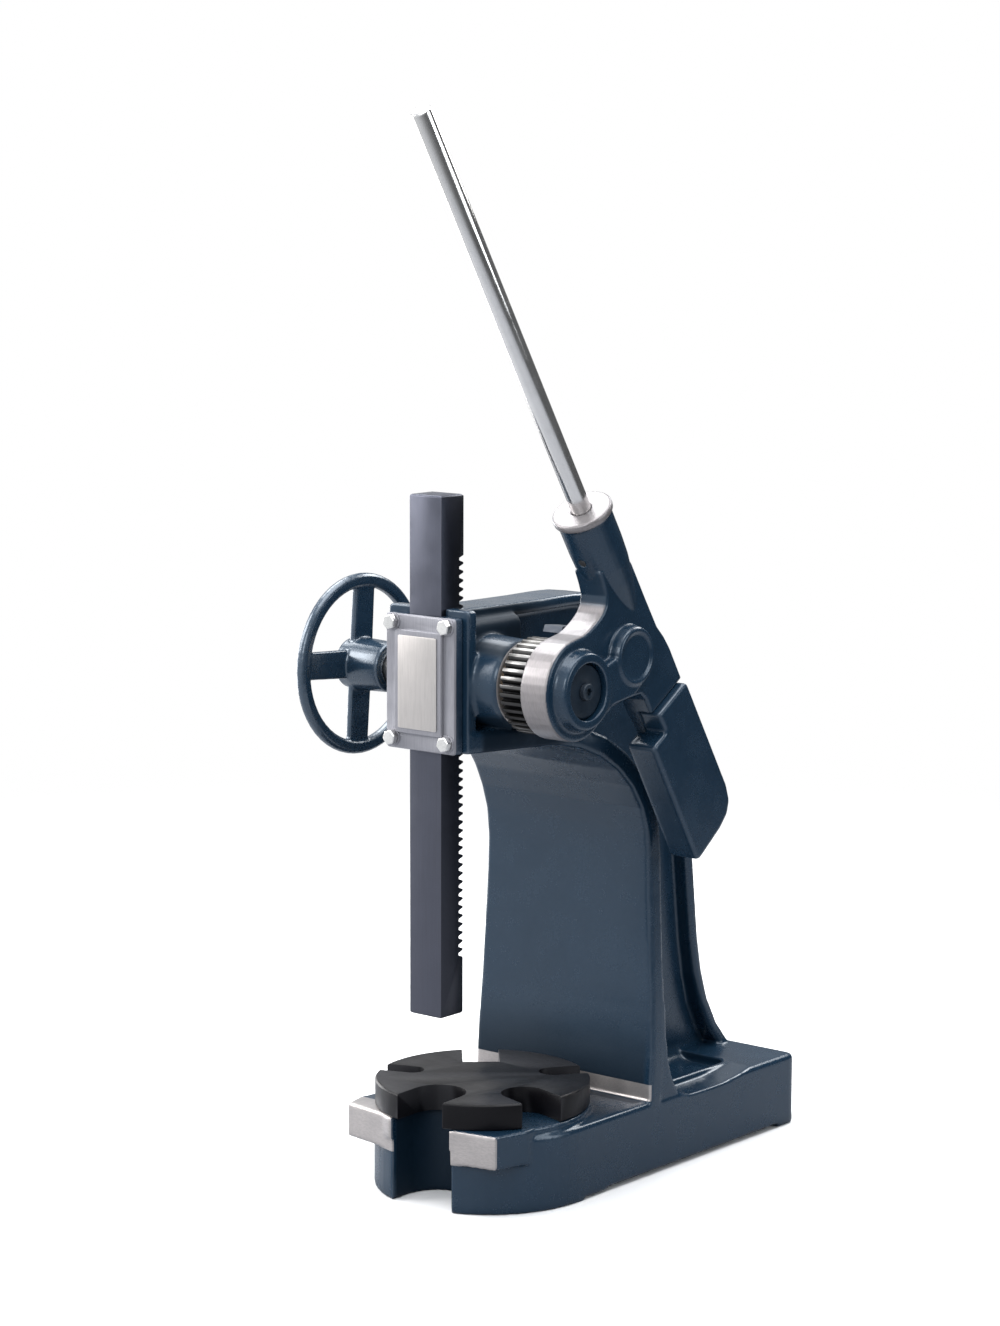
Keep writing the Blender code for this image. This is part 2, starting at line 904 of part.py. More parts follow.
def make_handwheel(mat):
    """A four-spoke wheel with a long hub towards the frame."""
    section = [
        (WHEEL_R - 15.5, WHEEL_X - 3.5),
        (WHEEL_R - 12.0, WHEEL_X - 6.5),
        (WHEEL_R - 4.0, WHEEL_X - 6.5),
        (WHEEL_R - 0.8, WHEEL_X - 3.6),
        (WHEEL_R, WHEEL_X),
        (WHEEL_R - 0.8, WHEEL_X + 3.6),
        (WHEEL_R - 4.0, WHEEL_X + 6.5),
        (WHEEL_R - 12.0, WHEEL_X + 6.5),
        (WHEEL_R - 15.5, WHEEL_X + 3.5),
    ]
    rim = turned("rim", section, "X", AXIS_Y, AXIS_Z, 56)
    hub = turned(
        "hub",
        [
            (0, -160.0),
            (25.5, -160.0),
            (28.0, -157.5),
            (29.5, -140.0),
            (28.0, -98.5),
            (26.0, -96.5),
            (0, -96.5),
        ],
        "X",
        AXIS_Y,
        AXIS_Z,
        32,
    )
    spokes = []
    for i in range(4):
        t = math.radians(90 * i - 4)
        c, s = math.cos(t), math.sin(t)
        pts = [(20, -16.0), (90, -15.2), (90, 15.2), (20, 16.0)]
        pts = [(AXIS_Y + u * c - v * s, AXIS_Z + u * s + v * c) for u, v in pts]
        spokes.append(prism("spoke", pts, WHEEL_X - 4.0, WHEEL_X + 4.0, "X", 1.5))
    union(rim, spokes + [hub])
    cutters = [
        cylinder("bore", 17.25, -170.0, -90.0, "X", AXIS_Y, AXIS_Z, 32),
        box(
            "way",
            (-170.0, -90.0),
            (AXIS_Y - 4.2, AXIS_Y + 4.2),
            (AXIS_Z + 12.0, AXIS_Z + 21.0),
        ),
        cylinder("tap", 4.4, AXIS_Z - 40.0, AXIS_Z - 10.0, "Z", -133.0, AXIS_Y, 12),
    ]
    cut(rim, cutters)
    return finish(tidy(rim), "handwheel", mat, origin=(0.0, AXIS_Y, AXIS_Z))


def make_wheel_screw(mat):
    screw = cylinder(
        "screw", 4.1, AXIS_Z - 28.2, AXIS_Z - 16.4, "Z", -133.0, AXIS_Y, 12, 0.6
    )
    socket = prism(
        "socket",
        circle(-133.0, AXIS_Y, 2.3, 6),
        AXIS_Z - 30.0,
        AXIS_Z - 24.0,
    )
    return finish(
        cut(screw, [socket]),
        "handwheel_set_screw",
        mat,
        origin=(0.0, AXIS_Y, AXIS_Z),
    )


def make_washer(mat):
    washer = turned(
        "washer",
        [
            (5.6, 166.0),
            (27.5, 166.0),
            (29.0, 167.2),
            (29.0, 171.0),
            (27.8, 172.0),
            (5.6, 172.0),
        ],
        "X",
        AXIS_Y,
        AXIS_Z,
        36,
    )
    return finish(washer, "retaining_washer", mat, origin=(0.0, AXIS_Y, AXIS_Z))


def make_retaining_screw(mat):
    head = turned(
        "head",
        [
            (0, 140.0),
            (4.3, 140.0),
            (4.3, 172.3),
            (9.0, 172.3),
            (9.0, 177.0),
            (8.2, 178.0),
            (0, 178.0),
        ],
        "X",
        AXIS_Y,
        AXIS_Z,
        24,
    )
    socket = prism("socket", circle(AXIS_Y, AXIS_Z, 4.6, 6), 174.0, 182.0, "X")
    return finish(
        cut(head, [socket]), "retaining_screw", mat, origin=(0.0, AXIS_Y, AXIS_Z)
    )


# ---------------------------------------------------------------- lever group


def plate_outline():
    """The side outline of the lever casting's flat body, in lever coordinates."""
    hub = arc(0, 0, HUB_R, 70, 298, 25)
    neck = [
        (96.0, 84.0),
        (94.0, 68.0),
        (91.5, 56.0),
        (85.5, 48.2),
        (76.0, 43.8),
        (63.0, 42.2),
        (48.0, 42.6),
        (37.0, 44.6),
        (27.0, 48.4),
    ]
    rear = [
        (146.0, -158.0),
        (152.0, -103.0),
        (152.5, -62.0),
        (150.5, -44.0),
        (146.5, -28.0),
        (146.0, 10.0),
        (146.0, 60.0),
        (138.0, 84.0),
    ]
    return rear + neck + hub + [(62.0, -62.0), (84.0, -73.5), (88.0, -84.0), (88.0, -103.0), (92.0, -158.0)]


def make_lever(mat):
    outline = [lever(a, b) for a, b in plate_outline()]
    body = prism("body", outline, PLATE_X[0], PLATE_X[1], "X", 2.0)
    tube = along_lever(
        "tube",
        TUBE_A,
        TUBE_X,
        [
            (0, -4.0),
            (12.0, -2.0),
            (18.8, 14.0),
            (22.5, 34.0),
            (26.0, 54.0),
            (28.8, 76.0),
            (29.8, 100.0),
            (TUBE_R, TUBE_TOP - 9.5),
            (TUBE_R + 3.0, TUBE_TOP - 8.0),
            (TUBE_R + 3.5, TUBE_TOP - 6.0),
            (TUBE_R + 3.5, TUBE_TOP - 2.0),
            (TUBE_R + 2.0, TUBE_TOP),
            (0, TUBE_TOP),
        ],
        32,
    )
    ring = turned(
        "ring",
        [
            (0, 158.0),
            (46.5, 158.0),
            (43.5, 167.0),
            (41.5, 176.0),
            (39.5, 178.0),
            (0, 178.0),
        ],
        "X",
        AXIS_Y,
        AXIS_Z,
        40,
    )
    py, pz = lever(PAWL_A, PAWL_B)
    pawl_boss = turned(
        "boss",
        [(0, 159.0), (34.0, 159.0), (33.0, 172.0), (31.5, 176.4), (29.0, 178.0), (26.0, 177.2), (24.5, 175.6), (0, 175.6)],
        "X",
        py,
        pz,
        32,
    )
    bridge = prism(
        "bridge",
        [
            lever(a, b)
            for a, b in (
                (8, -43.5),
                (29, -42),
                (62, -56.5),
                (92, -54.5),
                (100, -30),
                (84, -8),
                (34, 4),
            )
        ],
        157.0,
        175.5,
        "X",
        2.0,
    )
    union(body, [tube, ring, bridge, pawl_boss])
    # where the counterweight's back lies over the tongue, the tongue is thinner
    tongue = [
        lever(a, b)
        for a, b in (
            (60, WEIGHT_TOP + 0.4),
            (190, WEIGHT_TOP + 0.4),
            (190, -190),
            (60, -190),
        )
    ]
    cutters = [
        prism("thin", tongue, 145.7, 190.0, "X"),
        cylinder("bore", NOSE_R + 0.3, 100.0, 200.0, "X", AXIS_Y, AXIS_Z, 32),
        cylinder("recess", 31.0, 165.8, 200.0, "X", AXIS_Y, AXIS_Z, 36),
        along_lever(
            "socket",
            TUBE_A,
            TUBE_X,
            [(0, BAR_LOW - 2), (BAR_R + 0.3, BAR_LOW - 2), (BAR_R + 0.3, 200), (0, 200)],
            24,
        ),
        cylinder("pawl_hole", 8.1, 100.0, 158.0, "X", py, pz, 20),
    ]
    # the tapped hole for the handle's set screw, from the back of the tube
    hole = along_lever("x", 0, 0, [(0, 0), (1, 0), (1, 1), (0, 1)], 6)
    bpy.data.objects.remove(hole, do_unlink=True)
    cutters.append(cross_hole("tap", 4.4, TUBE_A - 45, TUBE_A, 96.0))
    for a, b in WEIGHT_BOLTS:
        y, z = lever(a, b)
        cutters.append(cylinder("bolt", 5.4, 110.0, 160.0, "X", y, z, 16))
    cut(body, cutters)
    return finish(tidy(body), "lever_casting", mat, origin=(0.0, AXIS_Y, AXIS_Z))


WEIGHT_BOLTS = ((106.0, -131.0), (131.0, -131.0))


def cross_hole(name, r, a_low, a_high, b, count=12):
    """A round piece along the a direction at the tube's middle."""
    verts, faces = [], []
    for a in (a_low, a_high):
        for i in range(count):
            t = 2 * math.pi * i / count
            y, z = lever(a, b + r * math.sin(t))
            verts.append((TUBE_X + r * math.cos(t), y, z))
    for i in range(count):
        j = (i + 1) % count
        faces.append((i, j, count + j, count + i))
    faces.append(tuple(range(count))[::-1])
    faces.append(tuple(count + i for i in range(count)))
    return new_object(name, verts, faces)


def make_handle(mat):
    bar = along_lever(
        "bar",
        TUBE_A,
        TUBE_X,
        [
            (0, BAR_LOW),
            (BAR_R - 1.2, BAR_LOW),
            (BAR_R, BAR_LOW + 1.2),
            (BAR_R, BAR_HIGH - 2.5),
            (BAR_R - 0.8, BAR_HIGH - 0.8),
            (BAR_R - 2.5, BAR_HIGH),
            (0, BAR_HIGH),
        ],
        32,
    )
    return finish(bar, "handle_bar", mat, origin=(0.0, AXIS_Y, AXIS_Z))


def make_handle_screw(mat):
    screw = cross_hole("screw", 4.1, TUBE_A - 29.0, TUBE_A - BAR_R - 0.4, 96.0)
    return finish(screw, "handle_set_screw", mat, origin=(0.0, AXIS_Y, AXIS_Z))


def weight_outline():
    return rounded(
        [
            (88.0, WEIGHT_TOP),
            (147.0, WEIGHT_TOP),
            (146.0, -252.0),
            (141.5, -271.0),
            (130.0, -282.0),
            (111.0, -287.5),
            (58.0, WEIGHT_LOW),
            (61.0, -129.0),
            (88.0, -129.0),
        ],
        [0, 6, 20, 14, 14, 20, 8, 6, 3],
        4,
    )


def make_weight(mat):
    weight = prism(
        "weight",
        [lever(a, b) for a, b in weight_outline()],
        WEIGHT_X[0],
        WEIGHT_X[1],
        "X",
        2.2,
    )
    pocket = [
        lever(a, b) for a, b in ((60, -90), (176, -90), (160, -161), (89.0, -161), (85.0, -129.5), (60, -129.5))
    ]
    cutters = [prism("pocket", pocket, 100.0, 146.0, "X")]
    for a, b in WEIGHT_BOLTS:
        y, z = lever(a, b)
        cutters.append(cylinder("tap", 5.1, 130.0, 162.0, "X", y, z, 14))
    cut(weight, cutters)
    return finish(tidy(weight), "counterweight", mat, origin=(0.0, AXIS_Y, AXIS_Z))


def make_weight_bolts(mat):
    for i, (a, b) in enumerate(WEIGHT_BOLTS):
        y, z = lever(a, b)
        head = prism(
            "head", circle(y, z, 15.0 / math.sqrt(3), 6), 119.7, 126.7, "X", 0.8
        )
        rod = cylinder("rod", 4.7, 126.0, 160.0, "X", y, z, 14)
        finish(
            union(head, [rod]),
            f"counterweight_bolt_{i + 1}",
            mat.copy(),
            origin=(0.0, AXIS_Y, AXIS_Z),
        )


PAWL_LIFT = math.radians(9.0)


def pawl_points():
    """The pawl's outline when its nose is in a tooth gap, in lever coordinates."""
    step = 2 * math.pi / RATCHET_TEETH
    t = 4 * step

    def polar(r, angle):
        return (r * math.cos(angle), r * math.sin(angle))

    tip = polar(RATCHET_ROOT + 0.45, t - 0.011)
    face_top = polar(RATCHET_R + 3.5, t - 0.006)
    heel = polar(RATCHET_R + 1.1, t - 0.58 * step)
    under = polar(RATCHET_ROOT + 0.55, t - 0.10 * step)
    back = arc(PAWL_A, PAWL_B, 14.0, -170, 50, 12)
    return (
        [tip, face_top, (62.0, 25.0)]
        + back[::-1]
        + [(66.5, 0.0), (57.5, 13.0), heel, under]
    )


def pawl_turned(points, by):
    """Lever-coordinate points turned about the pawl pin."""
    c, s = math.cos(by), math.sin(by)
    return [
        (
            PAWL_A + (a - PAWL_A) * c - (b - PAWL_B) * s,
            PAWL_B + (a - PAWL_A) * s + (b - PAWL_B) * c,
        )
        for a, b in points
    ]


def make_pawl(mat):
    py, pz = lever(PAWL_A, PAWL_B)
    points = pawl_turned(pawl_points(), -PAWL_LIFT)
    pawl = prism("pawl", [lever(a, b) for a, b in points], 100.0, 124.6, "X")
    # the finger tab by which the pawl is thrown in and out
    tab_pts = [
        (PAWL_A - 9, PAWL_B),
        (PAWL_A - 6, -56),
        (PAWL_A + 6, -58),
        (PAWL_A + 9, PAWL_B),
    ]
    tab = prism("tab", [lever(a, b) for a, b in tab_pts], 106.0, 118.0, "X")
    knob = cylinder("knob", 7.0, 101.0, 124.0, "X", *lever(PAWL_A, -60), 20, 1.0)
    union(pawl, [tab, knob])
    cut(pawl, [cylinder("hole", 8.1, 90.0, 130.0, "X", py, pz, 20)])
    return finish(tidy(pawl), "pawl", mat, origin=(0.0, py, pz))


def make_pawl_pin(mat):
    py, pz = lever(PAWL_A, PAWL_B)
    pin = turned(
        "pin",
        [
            (0, 96.0),
            (11.0, 96.0),
            (12.0, 97.0),
            (12.0, 99.6),
            (7.8, 99.6),
            (7.8, 156.0),
            (7.0, 157.0),
            (0, 157.0),
        ],
        "X",
        py,
        pz,
        24,
    )
    return finish(pin, "pawl_pin", mat, origin=(0.0, AXIS_Y, AXIS_Z))


def make_spring(mat):
    """A small coil on a pin under the body plate that holds the pawl's tab."""
    turns, wire, coil = 5, 1.1, 5.5
    a0, b0 = 116.0, -62.0
    steps, sides = 60, 6
    verts, faces = [], []
    for i in range(steps + 1):
        t = 2 * math.pi * turns * i / steps
        centre_x = 104.0 + 16.0 * i / steps
        for k in range(sides):
            p = 2 * math.pi * k / sides
            r = coil + wire * math.cos(p)
            y, z = lever(a0 + r * math.cos(t), b0 + r * math.sin(t))
            verts.append((centre_x + wire * math.sin(p), y, z))
    for i in range(steps):
        for k in range(sides):
            j = (k + 1) % sides
            faces.append(
                (i * sides + k, i * sides + j, (i + 1) * sides + j, (i + 1) * sides + k)
            )
    faces.append(tuple(range(sides))[::-1])
    faces.append(tuple(steps * sides + k for k in range(sides)))
    return finish(
        new_object("spring", verts, faces),
        "pawl_spring",
        mat,
        origin=(0.0, AXIS_Y, AXIS_Z),
    )


def make_spring_post(mat):
    y, z = lever(116.0, -62.0)
    post = turned(
        "post",
        [(0, 99.5), (5.6, 99.5), (6.4, 100.3), (6.4, 102.4), (3.8, 102.4), (3.8, 126.7), (0, 126.7)],
        "X",
        y,
        z,
        18,
    )
    return finish(post, "spring_post", mat, origin=(0.0, AXIS_Y, AXIS_Z))


# ---------------------------------------------------------------- table


def slot_shape(turn, width, reach, flat):
    """A slot's outline, open at the rim, in the table's plane. turn in degrees from +X."""
    half = width / 2
    if flat:
        pts = [(reach, -half), (150.0, -half), (150.0, half), (reach, half)]
    else:
        pts = [(150.0, -half), (150.0, half)] + arc(
            reach + half, 0, half, 90, 270, 13
        )
    t = math.radians(turn)
    return [
        (
            u * math.cos(t) - v * math.sin(t),
            TABLE_Y + u * math.sin(t) + v * math.cos(t),
        )
        for u, v in pts
    ]


TABLE_SLOTS = (
    (273.5, 61.0, 51.0, False),
    (343.0, 51.0, 57.0, False),
    (55.0, 33.0, 66.0, False),
    (131.0, 42.0, 62.0, True),
    (200.0, 27.0, 70.0, False),
)


def make_table(mat):
    table = turned(
        "table",
        [
            (0, TABLE_LOW),
            (TABLE_R - 1.5, TABLE_LOW),
            (TABLE_R, TABLE_LOW + 1.5),
            (TABLE_R, TABLE_HIGH - 1.8),
            (TABLE_R - 1.8, TABLE_HIGH),
            (0, TABLE_HIGH),
        ],
        "Z",
        0.0,
        TABLE_Y,
        96,
    )
    cutters = [
        prism("slot", slot_shape(*s), TABLE_LOW - 20, TABLE_HIGH + 20)
        for s in TABLE_SLOTS
    ]
    cutters.append(
        cylinder("hole", PIVOT_R + 0.3, 80.0, TABLE_HIGH - 8.0, "Z", 0.0, TABLE_Y, 32)
    )
    cut(table, cutters)
    return finish(tidy(table), "table_plate", mat, origin=(0.0, TABLE_Y, 0.0))


def make_pivot(mat):
    pin = cylinder(
        "pin", PIVOT_R - 0.3, 42.0, TABLE_HIGH - 9.0, "Z", 0.0, TABLE_Y, 32, 1.5
    )
    return finish(pin, "table_pivot_pin", mat)


def main():
    clear()
    paint = material("machine_enamel", (0.055, 0.085, 0.125), 0.0, 0.34)
    dark = material("blued_steel", (0.10, 0.10, 0.125), 0.85, 0.42)
    table = material("black_iron", (0.02, 0.02, 0.026), 0.6, 0.45)
    steel = material("bright_steel", (0.62, 0.62, 0.60), 1.0, 0.25)
    bronze = material("bearing_bronze", (0.55, 0.37, 0.16), 1.0, 0.4)
    plate = material("plain_plate", (0.70, 0.69, 0.64), 0.6, 0.4)

    make_frame(paint.copy())
    make_cap(paint.copy())
    make_bolts(steel)
    make_nameplate(plate.copy())
    make_gib(bronze.copy())
    make_ram(dark.copy())
    make_pinion(steel.copy())
    make_bushing("bushing_left", bronze.copy(), BOSS_IN + 0.5, -25.0)
    make_bushing("bushing_right", bronze.copy(), 25.0, 90.3, 34.0, 7.2)
    make_ratchet(steel.copy())
    make_key("ratchet_key", steel.copy(), 99.3, 125.7)
    make_handwheel(paint.copy())
    make_key("handwheel_key", steel.copy(), -145.7, -106.3)
    make_wheel_screw(steel.copy())
    make_washer(steel.copy())
    make_retaining_screw(steel.copy())
    make_lever(paint.copy())
    make_handle(steel.copy())
    make_handle_screw(steel.copy())
    make_weight(paint.copy())
    make_weight_bolts(steel)
    make_pawl(steel.copy())
    make_pawl_pin(steel.copy())
    make_spring(steel.copy())
    make_spring_post(steel.copy())
    make_table(table.copy())
    make_pivot(steel.copy())


main()
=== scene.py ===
import json
import math

import bpy
import numpy as np
from mathutils import Matrix, Vector

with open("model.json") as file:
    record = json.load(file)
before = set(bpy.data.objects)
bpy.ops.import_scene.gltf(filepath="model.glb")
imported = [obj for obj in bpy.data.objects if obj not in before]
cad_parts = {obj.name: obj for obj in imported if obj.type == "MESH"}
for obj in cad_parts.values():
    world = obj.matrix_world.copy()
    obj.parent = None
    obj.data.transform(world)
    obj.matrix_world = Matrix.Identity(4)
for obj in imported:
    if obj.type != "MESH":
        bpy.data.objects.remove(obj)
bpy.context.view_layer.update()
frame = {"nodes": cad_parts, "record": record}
NODES = frame["nodes"]

# --- the shared places of the CAD source, in metres in the row frame ---
RAM_X, RAM_Y = -0.0095, -0.152967
AXIS_Y, AXIS_Z = RAM_Y + 0.0395, 0.5793
LEAN = math.radians(32.2)


def at(x, y, z):
    """A point in millimetres from the ram's axis, in metres in the row frame."""
    return Vector((x / 1000 + RAM_X, y / 1000 + RAM_Y, z / 1000))


# --- camera ---
cam_data = bpy.data.cameras.new("camera")
cam = bpy.data.objects.new("camera", cam_data)
bpy.context.scene.collection.objects.link(cam)
right = Vector((0.77312, 0.63425, 0.00314))
forward = Vector((-0.62712, 0.76515, -0.14581)).normalized()
right = (right - right.dot(forward) * forward).normalized()
up = right.cross(forward)
eye = at(2378.0, -2793.5, 1138.7)
cam.matrix_world = Matrix(
    (
        (right.x, up.x, -forward.x, eye.x),
        (right.y, up.y, -forward.y, eye.y),
        (right.z, up.z, -forward.z, eye.z),
        (0, 0, 0, 1),
    )
)
cam_data.sensor_fit = "HORIZONTAL"
cam_data.sensor_width = 36.0
cam_data.lens = 123.82
cam_data.clip_start = 0.05
cam_data.clip_end = 100.0
bpy.context.scene.camera = cam

# --- floor, sky and lamps ---


def new_mesh(name, verts, faces):
    me = bpy.data.meshes.new(name)
    me.from_pydata([tuple(v) for v in verts], [], faces)
    me.validate()
    me.update()
    ob = bpy.data.objects.new(name, me)
    bpy.context.scene.collection.objects.link(ob)
    return ob


rings, spokes = 40, 96
floor_v = [(0, 0, -0.0006)]
floor_f = []
for r in range(1, rings + 1):
    for k in range(spokes):
        t = 2 * math.pi * k / spokes
        q = 2.6 * (r / rings)
        floor_v.append((q * math.cos(t), q * math.sin(t), -0.0006))
for k in range(spokes):
    floor_f.append((0, 1 + k, 1 + (k + 1) % spokes))
for r in range(1, rings):
    a, b = 1 + (r - 1) * spokes, 1 + r * spokes
    for k in range(spokes):
        m = (k + 1) % spokes
        floor_f.append((a + k, b + k, b + m, a + m))
floor = new_mesh("floor", floor_v, floor_f)

world = bpy.data.worlds.new("studio")
bpy.context.scene.world = world
world.use_nodes = True
wt = world.node_tree
wt.nodes.clear()
w_out = wt.nodes.new("ShaderNodeOutputWorld")
w_mix = wt.nodes.new("ShaderNodeMixShader")
w_path = wt.nodes.new("ShaderNodeLightPath")
w_seen = wt.nodes.new("ShaderNodeBackground")
w_seen.inputs[0].default_value = (1.0, 1.0, 1.0, 1)
w_seen.inputs[1].default_value = 1.0
w_lit = wt.nodes.new("ShaderNodeBackground")
# a sweep that is bright ahead, to the left and above, and dim behind
w_co = wt.nodes.new("ShaderNodeTexCoord")
w_dot = wt.nodes.new("ShaderNodeVectorMath")
w_dot.operation = "DOT_PRODUCT"
w_dot.inputs[1].default_value = Vector((-0.50, -0.65, 0.58)).normalized()
w_ramp = wt.nodes.new("ShaderNodeMapRange")
w_ramp.interpolation_type = "SMOOTHSTEP"
w_ramp.inputs["From Min"].default_value = -0.55
w_ramp.inputs["From Max"].default_value = 0.85
w_ramp.inputs["To Min"].default_value = 0.06
w_ramp.inputs["To Max"].default_value = 0.95
wt.links.new(w_co.outputs["Generated"], w_dot.inputs[0])
wt.links.new(w_dot.outputs["Value"], w_ramp.inputs["Value"])
wt.links.new(w_ramp.outputs[0], w_lit.inputs[1])
w_lit.inputs[0].default_value = (0.93, 0.96, 1.0, 1)
wt.links.new(w_path.outputs["Is Camera Ray"], w_mix.inputs[0])
wt.links.new(w_lit.outputs[0], w_mix.inputs[1])
wt.links.new(w_seen.outputs[0], w_mix.inputs[2])
wt.links.new(w_mix.outputs[0], w_out.inputs[0])


def lamp(name, place, target, size, power, color=(1, 1, 1), shape="RECTANGLE", size_y=None):
    data = bpy.data.lights.new(name, "AREA")
    data.shape = shape
    data.size = size
    if shape == "RECTANGLE":
        data.size_y = size_y or size
    data.energy = power
    data.color = color
    ob = bpy.data.objects.new(name, data)
    bpy.context.scene.collection.objects.link(ob)
    ob.location = place
    ob.rotation_mode = "QUATERNION"
    ob.rotation_quaternion = (Vector(target) - Vector(place)).to_track_quat("-Z", "Y")
    ob.visible_camera = False
    return ob


lamp("key", (-2.3, -1.6, 2.0), (0, -0.1, 0.5), 1.7, 82, (1.0, 0.98, 0.97), size_y=1.7)
lamp("front", (0.9, -3.2, 2.2), (0, -0.1, 0.4), 1.6, 36, (0.95, 0.975, 1.0), size_y=1.2)
lamp("top", (0.3, 0.0, 3.2), (0.1, 0, 0.0), 2.4, 84, (0.98, 0.985, 1.0))
lamp("side", (2.9, 0.7, 1.5), (0, 0, 0.5), 1.3, 30, (0.92, 0.96, 1.0), size_y=1.6)
lamp("rear_left", (-2.15, 2.0, 1.2), (0, -0.1, 0.6), 1.5, 1.6, (1.0, 0.99, 0.98), size_y=0.8)
lamp("rear_top", (0.1, 2.4, 2.3), (0, 0.0, 0.5), 1.7, 44, (1.0, 0.99, 0.98), size_y=0.9)
lamp("left_top", (-1.8, 0.7, 2.9), (0.1, 0, 0.4), 1.5, 52, (1.0, 0.99, 0.98))
lamp("left_card", (-2.6, 0.1, 0.45), (-0.15, -0.1, 0.58), 1.9, 40, (1.0, 0.99, 0.98), size_y=1.2)

# --- node materials ---


class Nodes:
    """A small helper that adds and joins shader nodes."""

    def __init__(self, name):
        self.m = bpy.data.materials.new(name)
        self.m.use_nodes = True
        self.t = self.m.node_tree
        self.t.nodes.clear()
        self.out = self.t.nodes.new("ShaderNodeOutputMaterial")
        self.b = self.t.nodes.new("ShaderNodeBsdfPrincipled")
        self.t.links.new(self.b.outputs[0], self.out.inputs[0])
        self.coord = self.t.nodes.new("ShaderNodeTexCoord")
        self.xyz = None

    def add(self, kind):
        return self.t.nodes.new(kind)

    def link(self, a, b):
        self.t.links.new(a, b)

    def put(self, socket, value):
        if isinstance(value, bpy.types.NodeSocket):
            self.link(value, socket)
        elif isinstance(value, (tuple, list)) and len(value) == 3 and socket.type == "RGBA":
            socket.default_value = (*value, 1.0)
        else:
            socket.default_value = value

    def math(self, op, a, b=0.0, clamp=False):
        n = self.add("ShaderNodeMath")
        n.operation = op
        n.use_clamp = clamp
        self.put(n.inputs[0], a)
        self.put(n.inputs[1], b)
        return n.outputs[0]

    def mix(self, f, a, b):
        n = self.add("ShaderNodeMix")
        n.data_type = "RGBA"
        self.put(n.inputs[0], f)
        self.put(n.inputs[6], a)
        self.put(n.inputs[7], b)
        return n.outputs[2]

    def mixf(self, f, a, b):
        n = self.add("ShaderNodeMix")
        n.data_type = "FLOAT"
        self.put(n.inputs[0], f)
        self.put(n.inputs[2], a)
        self.put(n.inputs[3], b)
        return n.outputs[0]

    def noise(self, scale, detail=3.0, rough=0.5, stretch=None, vector=None):
        v = vector or self.coord.outputs["Object"]
        if stretch:
            mp = self.add("ShaderNodeMapping")
            mp.inputs["Scale"].default_value = stretch
            self.link(v, mp.inputs["Vector"])
            v = mp.outputs[0]
        n = self.add("ShaderNodeTexNoise")
        n.inputs["Scale"].default_value = scale
        n.inputs["Detail"].default_value = detail
        n.inputs["Roughness"].default_value = rough
        self.link(v, n.inputs["Vector"])
        return n.outputs[0]

    def ramp(self, value, lo, hi, a=0.0, b=1.0):
        n = self.add("ShaderNodeMapRange")
        n.interpolation_type = "SMOOTHSTEP"
        n.inputs["From Min"].default_value = lo
        n.inputs["From Max"].default_value = hi
        n.inputs["To Min"].default_value = a
        n.inputs["To Max"].default_value = b
        self.put(n.inputs["Value"], value)
        return n.outputs[0]

    def position(self):
        if self.xyz is None:
            s = self.add("ShaderNodeSeparateXYZ")
            self.link(self.coord.outputs["Object"], s.inputs[0])
            self.xyz = s.outputs
        return self.xyz

    def box(self, low, high, soft=0.0008):
        """1 inside a box of the row frame, None for a side that is open."""
        value = None
        for k in range(3):
            p = self.position()[k]
            if low[k] is not None:
                v = self.ramp(p, low[k] - soft / 2, low[k] + soft / 2)
                value = v if value is None else self.math("MULTIPLY", value, v)
            if high[k] is not None:
                v = self.ramp(p, high[k] - soft / 2, high[k] + soft / 2, 1.0, 0.0)
                value = v if value is None else self.math("MULTIPLY", value, v)
        return value

    def normal(self):
        g = self.add("ShaderNodeNewGeometry")
        s = self.add("ShaderNodeSeparateXYZ")
        self.link(g.outputs["True Normal"], s.inputs[0])
        return s.outputs

    def edges(self, lo=0.51, hi=0.56):
        g = self.add("ShaderNodeNewGeometry")
        return self.ramp(g.outputs["Pointiness"], lo, hi)

    def bump(self, parts):
        """parts is a list of (height, strength, distance), and the last is the outermost."""
        last = None
        for height, strength, distance in parts:
            n = self.add("ShaderNodeBump")
            n.inputs["Strength"].default_value = strength
            n.inputs["Distance"].default_value = distance
            self.put(n.inputs["Height"], height)
            if last is not None:
                self.link(last, n.inputs["Normal"])
            last = n.outputs[0]
        self.link(last, self.b.inputs["Normal"])
        return last


def linear(r, g, b):
    """An 8-bit screen colour as linear values."""
    out = []
    for c in (r, g, b):
        c = c / 255
        out.append(c / 12.92 if c <= 0.04045 else ((c + 0.055) / 1.055) ** 2.4)
    return tuple(out)


def any_of(n, values):
    out = values[0]
    for v in values[1:]:
        out = n.math("MAXIMUM", out, v)
    return out


def ground_metal(n, tone, across):
    """Colour, roughness and height of a ground or milled surface with fine lines."""
    lines = n.noise(1.0, 3.0, 0.6, across)
    cloud = n.noise(38.0, 3.0, 0.6)
    color = n.mix(cloud, tuple(c * 0.82 for c in tone), tuple(min(1, c * 1.12) for c in tone))
    color = n.mix(n.ramp(lines, 0.35, 0.7, 0.0, 0.35), color, tuple(c * 0.6 for c in tone))
    rough = n.math("ADD", n.ramp(cloud, 0.3, 0.7, 0.30, 0.42), n.ramp(lines, 0.3, 0.7, 0.0, 0.08))
    return color, rough, lines


